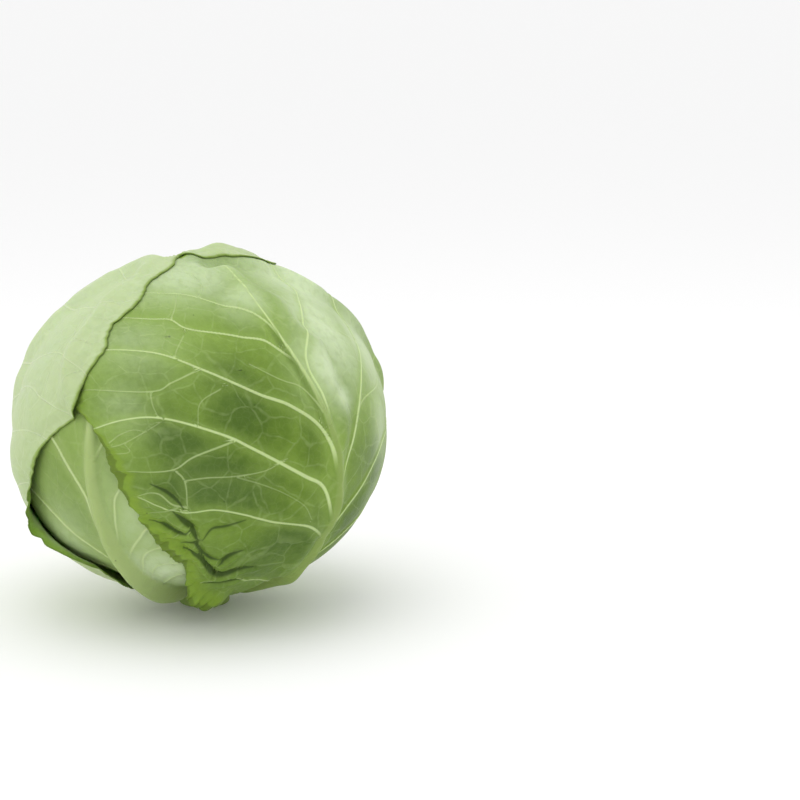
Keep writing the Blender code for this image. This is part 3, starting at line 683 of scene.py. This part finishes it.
def leafMesh(leaf, order):
    cells = leaf["cells"]
    bm = bmesh.new()
    bmesh.ops.create_grid(bm, x_segments=cells, y_segments=cells, size=1.0)
    x, y = np.array([vertex.co[:2] for vertex in bm.verts]).T
    turn, share = discPoint(x, y)
    reach = share * fineReach(leaf, np.degrees(turn))
    for vertex, flat in zip(bm.verts, np.column_stack([reach * np.cos(turn), reach * np.sin(turn)])):
        vertex.co = (*flat, 0.0)
    made = bmesh.ops.extrude_face_region(bm, geom=bm.faces[:])
    for item in made["geom"]:
        if isinstance(item, bmesh.types.BMVert):
            item.co.z = 1.0                         # marks the outer face until the leaf is wrapped
    mesh = bpy.data.meshes.new(leaf["node"])
    bm.to_mesh(mesh)
    bm.free()

    flat = np.zeros(len(mesh.vertices) * 3, np.float32)
    mesh.vertices.foreach_get("co", flat)
    u, v, outer = flat.reshape(-1, 3).astype(float).T
    direction = directionOf(leaf, u, v)
    turn = np.degrees(np.arctan2(v, u))
    inside = np.maximum(fineReach(leaf, turn) - np.hypot(u, v), 0.0)
    inner, rise, side, across, power, foldAcross = leafSurface(order, direction)
    points = settle(headCentre + direction * (inner + outer * rise)[:, None])
    mesh.vertices.foreach_set("co", points.astype(np.float32).ravel())

    scale = headForm["mmPerDegree"]
    brightWidth = frill(leaf, turn)[1]
    ribSide = ribDistance(leaf, u, v)
    ribShade = np.exp(-(((ribSide - 1.5) / 2.4) ** 2)) * ease((ribSway(leaf, u) - v) * scale)
    ribShade *= ease((u + 5.0) / 14.0) * (1.0 - ease((u - 34.0) / 16.0))  # painted shade at the left foot of the rib
    fields = {
        "veinSide": side,
        "veinPower": power,
        "ribSide": np.clip(ribSide, -9.0, 20.0),
        "alongLeaf": (u + 90.0) / 180.0,
        "marginGlow": np.clip(1.0 - inside * scale / brightWidth, 0.0, 1.0),
        "marginIn": inside * scale,
        # wax patches: real wax bloom with a painted sheen, kept off the painted shade by the rib
        "waxAndSheen": spread(leaf["waxAndSheen"], u, v) * (1.0 - leaf["ribShade"] * ribShade),
        # patches of deeper green with painted shade, and the painted shade along the rib's foot
        "deepGreenAndShade": np.maximum(spread(leaf["deepGreenAndShade"], u, v), leaf["ribShade"] * ribShade),
    }
    for name, values in fields.items():
        mesh.attributes.new(name, "FLOAT", "POINT").data.foreach_set("value", values.astype(np.float32))
    for name, values in (("veinAcross", across), ("foldAcross", foldAcross)):
        layer = mesh.attributes.new(name, "FLOAT_VECTOR", "POINT")
        layer.data.foreach_set("vector", values.astype(np.float32).ravel())
    corner = np.zeros(len(mesh.loops), np.int32)
    mesh.loops.foreach_get("vertex_index", corner)
    leafMap = mesh.uv_layers.new(name="leafMap")    # 1 unit of the map is 100 mm of leaf
    flatMap = np.column_stack([u, v])[corner] * headForm["mmPerDegree"] / 100.0
    leafMap.data.foreach_set("uv", flatMap.astype(np.float32).ravel())

    bm = bmesh.new()
    bm.from_mesh(mesh)
    bmesh.ops.recalc_face_normals(bm, faces=bm.faces[:])
    if bm.calc_volume(signed=True) < 0.0:
        bmesh.ops.reverse_faces(bm, faces=bm.faces[:])
    bm.to_mesh(mesh)
    bm.free()
    mesh.shade_smooth()
    return mesh


def addPiece(name, mesh, material, node):
    piece = bpy.data.objects.new(name, mesh)
    bpy.context.scene.collection.objects.link(piece)
    mesh.materials.append(material)
    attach(piece, "root")
    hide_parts(node)
    return piece


# Materials

def colour(red, green, blue):  # a colour as a picture shows it, made linear
    return tuple(((part / 255.0 + 0.055) / 1.055) ** 2.4 for part in (red, green, blue)) + (1.0,)


def addNode(tree, kind, inputs=None, **settings):
    made = tree.nodes.new("ShaderNode" + kind)
    for name, value in settings.items():
        setattr(made, name, value)
    for name, value in (inputs or {}).items():
        if isinstance(value, bpy.types.NodeSocket):
            tree.links.new(value, made.inputs[name])
        else:
            made.inputs[name].default_value = value
    return made


def mixed(tree, share, low, high, way="MIX"):
    mix = addNode(tree, "Mix", {0: share, 6: low, 7: high}, data_type="RGBA", blend_type=way)
    return mix.outputs[2]


def ranged(tree, value, start, end, low=0.0, high=1.0):
    inputs = {"Value": value, "From Min": start, "From Max": end, "To Min": low, "To Max": high}
    return addNode(tree, "MapRange", inputs, interpolation_type="SMOOTHSTEP").outputs[0]


def times(tree, first, second, way="MULTIPLY"):
    return addNode(tree, "Math", {0: first, 1: second}, operation=way).outputs[0]


def field(tree, name):
    return addNode(tree, "Attribute", attribute_name=name).outputs["Fac"]


def newMaterial(name, roughness):
    material = bpy.data.materials.new(name)
    material.use_nodes = True
    shader = material.node_tree.nodes["Principled BSDF"]
    shader.inputs["Roughness"].default_value = roughness
    return material, material.node_tree, shader


# Colours are as a picture shows them, shares run from 0 to 1
leafFinishes = {
    "wrapper_leaf_1": {
        "deep": (140, 164, 92), "mid": (173, 190, 136), "pale": (188, 202, 158), "vein": (214, 226, 188),
        "rib": (200, 215, 168), "margin": (136, 162, 76), "waxAndSheenShare": 0.75, "bloomAndSheen": 0.2, "young": 0.3,
        "net": 0.12, "patch": 40.0, "halo": 0.2,
    },
    "wrapper_leaf_2": {
        "deep": (72, 100, 22), "mid": (122, 151, 56), "pale": (150, 178, 88), "vein": (208, 227, 164),
        "rib": (130, 152, 74), "margin": (126, 154, 54), "waxAndSheenShare": 1.0, "bloomAndSheen": 0.05, "young": 0.18,
        "net": 0.11, "patch": 55.0, "halo": 0.3,
    },
    "wrapper_leaf_3": {
        "deep": (80, 112, 26), "mid": (124, 156, 66), "pale": (156, 182, 100), "vein": (206, 225, 166),
        "rib": (160, 182, 110), "margin": (122, 152, 58), "waxAndSheenShare": 0.6, "bloomAndSheen": 0.12, "young": 0.5,
        "net": 0.14, "patch": 50.0, "halo": 0.34,
    },
    "wrapper_leaf_4": {
        "deep": (98, 124, 48), "mid": (138, 164, 84), "pale": (156, 177, 108), "vein": (198, 214, 156),
        "rib": (160, 180, 112), "margin": (128, 156, 66), "waxAndSheenShare": 1.0, "bloomAndSheen": 0.08, "young": 0.6,
        "net": 0.07, "patch": 50.0, "halo": 0.4,
    },
    "wrapper_leaf_5": {
        "deep": (90, 122, 36), "mid": (130, 161, 72), "pale": (160, 185, 106), "vein": (206, 225, 166),
        "rib": (162, 184, 112), "margin": (124, 155, 60), "waxAndSheenShare": 0.6, "bloomAndSheen": 0.12, "young": 0.5,
        "net": 0.14, "patch": 50.0, "halo": 0.34,
    },
}
# pale colour of the wax bloom, which also paints the sheen of the soft boxes
waxAndSheenColour = (196, 213, 171)
speckColour = (62, 82, 34)
# painted shade in the grooves of the folds
creaseShadeColour = (58, 80, 30)


def crispSide(tree, name):  # mm to a line's side, exact between the mesh's points
    vector = addNode(tree, "Attribute", attribute_name=name).outputs["Vector"]
    parts = addNode(tree, "SeparateXYZ", {0: vector})
    flat = addNode(tree, "CombineXYZ", {0: parts.outputs[0], 1: parts.outputs[1]}).outputs[0]
    length = addNode(tree, "VectorMath", {0: flat}, operation="LENGTH").outputs["Value"]
    return times(tree, length, parts.outputs[2], "SUBTRACT")


def leafMaterial(name, finish):
    material, tree, shader = newMaterial(name, 0.42)
    flat = addNode(tree, "UVMap", uv_map="leafMap").outputs[0]
    patchScale = 100.0 / finish["patch"]
    patches = addNode(tree, "TexNoise", {"Vector": flat, "Scale": patchScale, "Detail": 1.5}).outputs[0]
    mottle = addNode(tree, "TexNoise", {"Vector": flat, "Scale": 24.0, "Detail": 6.0}).outputs[0]
    grain = addNode(tree, "TexNoise", {"Vector": flat, "Scale": 150.0, "Detail": 3.0}).outputs[0]
    ribSide = field(tree, "ribSide")
    power = field(tree, "veinPower")
    veinSide = field(tree, "veinSide")
    veinLine = times(tree, crispSide(tree, "veinAcross"), times(tree, veinSide, 1.4, "SUBTRACT"), "MAXIMUM")
    foldLine = crispSide(tree, "foldAcross")
    glow = field(tree, "marginGlow")

    # the dark patches give deeper green, partly painted shade
    green = times(tree, ranged(tree, patches, 0.3, 0.6, 0.55, 1.05), field(tree, "deepGreenAndShade"), "SUBTRACT")
    green = times(tree, green, ranged(tree, mottle, 0.3, 0.75, -0.09, 0.09), "ADD")
    green = addNode(tree, "Clamp", {0: green}).outputs[0]
    base = mixed(tree, green, colour(*finish["deep"]), colour(*finish["mid"]))
    young = ranged(tree, field(tree, "alongLeaf"), 0.36, 0.0, 0.0, finish["young"])
    base = mixed(tree, young, base, colour(*finish["pale"]))
    base = mixed(tree, ranged(tree, ribSide, 9.0, 0.0, 0.0, 0.25), base, colour(*finish["pale"]))

    # wax bloom in clouds, with a painted sheen of the soft boxes where the wax patches lie
    bloomAndSheen = times(tree, field(tree, "waxAndSheen"), finish["waxAndSheenShare"])
    bloomAndSheen = times(tree, bloomAndSheen, ranged(tree, patches, 0.7, 0.3, 0.0, finish["bloomAndSheen"]), "ADD")
    bloomAndSheen = times(tree, bloomAndSheen, ranged(tree, mottle, 0.2, 0.6, 0.75, 1.0))
    base = mixed(tree, bloomAndSheen, base, colour(*waxAndSheenColour))

    # the thin net between the veins: two sizes of cell edges, bent by noise
    wander = addNode(tree, "TexNoise", {"Vector": flat, "Scale": 9.0, "Detail": 2.0}).outputs["Color"]
    bent = addNode(tree, "VectorMath", {0: wander, 1: (0.06, 0.06, 0.0), 2: flat}, operation="MULTIPLY_ADD")
    wide = addNode(tree, "TexVoronoi", {"Vector": bent.outputs[0], "Scale": 7.0}, feature="DISTANCE_TO_EDGE")
    fine = addNode(tree, "TexVoronoi", {"Vector": bent.outputs[0], "Scale": 34.0}, feature="DISTANCE_TO_EDGE")
    wideNet = ranged(tree, wide.outputs["Distance"], 0.05, 0.005)
    fineNet = ranged(tree, fine.outputs["Distance"], 0.11, 0.01, 0.0, 0.25)
    net = times(tree, wideNet, fineNet, "MAXIMUM")
    net = times(tree, net, ranged(tree, mottle, 0.3, 0.6, 0.3, 1.0))
    base = mixed(tree, times(tree, net, finish["net"]), base, colour(*finish["vein"]))

    halo = times(tree, ranged(tree, veinSide, 5.5, 0.0, 0.0, finish["halo"]), power)
    base = mixed(tree, halo, base, colour(*finish["pale"]))
    ribBody = ranged(tree, ribSide, 0.7, -1.7)
    base = mixed(tree, times(tree, ribBody, 0.85), base, colour(*finish["rib"]))
    line = times(tree, ranged(tree, veinLine, 0.35, -0.3), ranged(tree, power, 0.0, 0.95, 0.0, 0.74))
    upwards = ranged(tree, field(tree, "alongLeaf"), 0.5, 0.72, 0.08, 0.78)
    line = times(tree, line, times(tree, ranged(tree, ribSide, 0.3, -0.6), upwards), "MAXIMUM")
    base = mixed(tree, line, base, colour(*finish["vein"]))

    # the margin is brighter and yellower, with a painted shade along its very edge, and the fold grooves get
    # painted shade
    glow = times(tree, ranged(tree, glow, 0.0, 0.6), ranged(tree, mottle, 0.25, 0.6, 0.6, 1.0))
    glow = times(tree, glow, ranged(tree, line, 0.0, 1.0, 1.0, 0.4))
    base = mixed(tree, glow, base, colour(*finish["margin"]))
    # painted shade along the last 0.8 mm of the margin
    edgeShade = tuple(0.72 * part for part in finish["margin"])
    base = mixed(tree, ranged(tree, field(tree, "marginIn"), 0.8, 0.0, 0.0, 0.7), base, colour(*edgeShade))

    # a few dark specks, and painted shade in the fold grooves
    speck = addNode(tree, "TexVoronoi", {"Vector": flat, "Scale": 11.0}, feature="F1")
    rare = addNode(tree, "SeparateColor", {0: speck.outputs["Color"]}).outputs[0]
    dot = ranged(tree, speck.outputs["Distance"], 0.06, 0.02)
    dot = times(tree, dot, ranged(tree, rare, 0.7, 0.76, 0.0, 0.7))
    base = mixed(tree, dot, base, colour(*speckColour))
    base = mixed(tree, ranged(tree, foldLine, 0.5, -0.3, 0.0, 0.85), base, colour(*creaseShadeColour))

    tree.links.new(base, shader.inputs["Base Color"])
    tree.links.new(ranged(tree, mottle, 0.3, 0.75, 0.36, 0.52), shader.inputs["Roughness"])
    relief = times(tree, times(tree, grain, 0.05), times(tree, mottle, 0.35), "ADD")        # in mm
    relief = times(tree, relief, times(tree, net, 0.12), "ADD")
    relief = times(tree, relief, times(tree, ranged(tree, veinLine, 0.6, -0.4), 0.25), "ADD")
    bump = addNode(tree, "Bump", {"Height": relief, "Strength": 1.0, "Distance": 0.001})
    tree.links.new(bump.outputs[0], shader.inputs["Normal"])
    shader.inputs["Subsurface Weight"].default_value = 0.25
    shader.inputs["Subsurface Radius"].default_value = (0.7, 1.0, 0.25)
    shader.inputs["Subsurface Scale"].default_value = 0.0015
    shader.inputs["Specular IOR Level"].default_value = 0.15
    return material


for order, leaf in enumerate(leaves):
    finish = leafFinishes[leaf["node"]]
    mesh = leafMesh(leaf, order)
    skin = leafMaterial(leaf["node"] + "_skin", finish)
    addPiece(leaf["node"] + "_fine", mesh, skin, leaf["node"])
    print("leaf", leaf["node"], len(mesh.polygons), "faces")


heartFinish = {
    "columns": 128,
    "rings": 96,
    "deep": (150, 178, 96),
    "pale": (196, 212, 156),
}


def heartPiece():
    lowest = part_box("heart")[0].z
    bm = bmesh.new()
    columns, rings = heartFinish["columns"], heartFinish["rings"]
    bmesh.ops.create_uvsphere(bm, u_segments=columns, v_segments=rings, radius=1.0)
    direction = np.array([vertex.co.normalized()[:] for vertex in bm.verts])
    points = headCentre + direction * heartRadius(direction)[:, None]
    for vertex, point in zip(bm.verts, points):
        vertex.co = (point[0], point[1], max(point[2], lowest))
    mesh = bpy.data.meshes.new("heart_fine")
    bm.to_mesh(mesh)
    bm.free()
    mesh.shade_smooth()
    material, tree, shader = newMaterial("heart_skin", 0.45)
    place = addNode(tree, "TexCoord").outputs["Object"]
    patches = addNode(tree, "TexNoise", {"Vector": place, "Scale": 22.0, "Detail": 5.0}).outputs[0]
    deep, pale = colour(*heartFinish["deep"]), colour(*heartFinish["pale"])
    skin = mixed(tree, ranged(tree, patches, 0.35, 0.65), deep, pale)
    tree.links.new(skin, shader.inputs["Base Color"])
    addPiece("heart_fine", mesh, material, "heart")


heartPiece()
print("heart")

stemPlan = {
    "sides": 96,
    "bevel": 0.0009,
    "rind": (120, 144, 66),
    "cut": (214, 210, 168),
    "ring": (176, 178, 116),
    "rough": 0.00012,
}


def stemPiece():
    low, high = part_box("stem")
    radius = (high.x - low.x) / 2.0
    bm = bmesh.new()
    bmesh.ops.create_circle(bm, cap_ends=True, segments=stemPlan["sides"], radius=radius)
    made = bmesh.ops.extrude_face_region(bm, geom=bm.faces[:])
    top = [item for item in made["geom"] if isinstance(item, bmesh.types.BMVert)]
    bmesh.ops.translate(bm, verts=top, vec=(0.0, 0.0, high.z))
    rims = [edge for edge in bm.edges if abs(edge.verts[0].co.z - edge.verts[1].co.z) < 1e-6]
    bmesh.ops.bevel(
        bm, geom=rims, offset=stemPlan["bevel"], affect="EDGES", segments=3, profile=0.5, material=-1
    )
    bmesh.ops.recalc_face_normals(bm, faces=bm.faces[:])
    mesh = bpy.data.meshes.new("stem_fine")
    bm.to_mesh(mesh)
    bm.free()
    mesh.shade_smooth()
    mesh.set_sharp_from_angle(angle=math.radians(40))
    material, tree, shader = newMaterial("stem_cut", 0.65)
    place = addNode(tree, "TexCoord").outputs["Object"]
    flat = addNode(tree, "Mapping", {"Vector": place, "Scale": (1.0, 1.0, 0.0)}).outputs[0]
    fromAxis = addNode(tree, "VectorMath", {0: flat}, operation="LENGTH").outputs["Value"]
    fibre = addNode(tree, "TexNoise", {"Vector": place, "Scale": 900.0, "Detail": 4.0}).outputs[0]
    uneven = addNode(tree, "TexNoise", {"Vector": place, "Scale": 160.0, "Detail": 3.0}).outputs[0]
    wobble = times(tree, fromAxis, times(tree, uneven, 0.004), "ADD")
    ring = times(tree, ranged(tree, wobble, 0.0065, 0.0080), ranged(tree, wobble, 0.0102, 0.0088))
    strands = ranged(tree, fibre, 0.3, 0.75, 0.0, 0.5)
    skin = mixed(tree, strands, colour(*stemPlan["cut"]), colour(*stemPlan["ring"]))
    skin = mixed(tree, times(tree, ring, 0.8), skin, colour(*stemPlan["ring"]))
    skin = mixed(tree, ranged(tree, wobble, 0.0122, 0.0130), skin, colour(*stemPlan["rind"]))
    tree.links.new(skin, shader.inputs["Base Color"])
    bump = addNode(tree, "Bump", {"Height": fibre, "Strength": 0.5, "Distance": stemPlan["rough"]})
    tree.links.new(bump.outputs[0], shader.inputs["Normal"])
    addPiece("stem_fine", mesh, material, "stem")


stemPiece()
print("stem")

# The studio: a pale floor, soft boxes at the left, the right and overhead, and the camera
studio = {
    "floorSize": 40.0,
    "floorColour": (0.95, 0.95, 0.95, 1.0),
    "worldStrength": 0.98,
    "softBoxes": [
        ("left", (-0.9, -0.35, 0.6), 0.8, 1.1),
        ("right", (0.95, 0.1, 0.6), 0.6, 0.5),
        ("top", (0.0, -0.1, 1.1), 0.8, 2.2),
    ],
    "elevation": 12.0,
    "distance": 1.0526,
    "lens": 100.0,
    "sensor": 36.0,
    "lookHeight": 0.0838,
    "aimRight": 0.0943,         # the picture's middle lies right of the head and above its middle
    "aimUp": 0.0123,
}


def makeFloor():
    bm = bmesh.new()
    bmesh.ops.create_grid(bm, x_segments=1, y_segments=1, size=studio["floorSize"] / 2.0)
    mesh = bpy.data.meshes.new("floor")
    bm.to_mesh(mesh)
    bm.free()
    floor = bpy.data.objects.new("floor", mesh)
    bpy.context.scene.collection.objects.link(floor)
    material, tree, shader = newMaterial("floor_white", 0.8)
    shader.inputs["Base Color"].default_value = studio["floorColour"]
    mesh.materials.append(material)


def makeLights():
    world = bpy.data.worlds.new("studio")
    world.use_nodes = True
    sky = world.node_tree.nodes["Background"]
    sky.inputs["Color"].default_value = (1.0, 1.0, 1.0, 1.0)
    sky.inputs["Strength"].default_value = studio["worldStrength"]
    bpy.context.scene.world = world
    for name, place, size, power in studio["softBoxes"]:
        light = bpy.data.lights.new("softbox_" + name, "AREA")
        light.shape = "SQUARE"
        light.size = size
        light.energy = power
        lamp = bpy.data.objects.new("softbox_" + name, light)
        lamp.location = place
        lamp.rotation_euler = (Vector((0, 0, 0.08)) - Vector(place)).to_track_quat("-Z", "Y").to_euler()
        bpy.context.scene.collection.objects.link(lamp)


def makeCamera():
    elevation = math.radians(studio["elevation"])
    back = Vector((0.0, -math.cos(elevation), math.sin(elevation)))
    up = Vector((0.0, math.sin(elevation), math.cos(elevation)))
    middle = Vector((0.0, 0.0, studio["lookHeight"]))
    aim = middle + Vector((studio["aimRight"], 0.0, 0.0)) + up * studio["aimUp"]
    data = bpy.data.cameras.new("camera")
    data.lens = studio["lens"]
    data.sensor_width = studio["sensor"]
    data.clip_start = 0.01
    camera = bpy.data.objects.new("camera", data)
    camera.location = middle + back * studio["distance"]
    camera.rotation_euler = (aim - camera.location).to_track_quat("-Z", "Y").to_euler()
    bpy.context.scene.collection.objects.link(camera)
    bpy.context.scene.camera = camera


makeFloor()
makeLights()
makeCamera()
bpy.context.scene.view_settings.view_transform = "Standard"
print("studio")
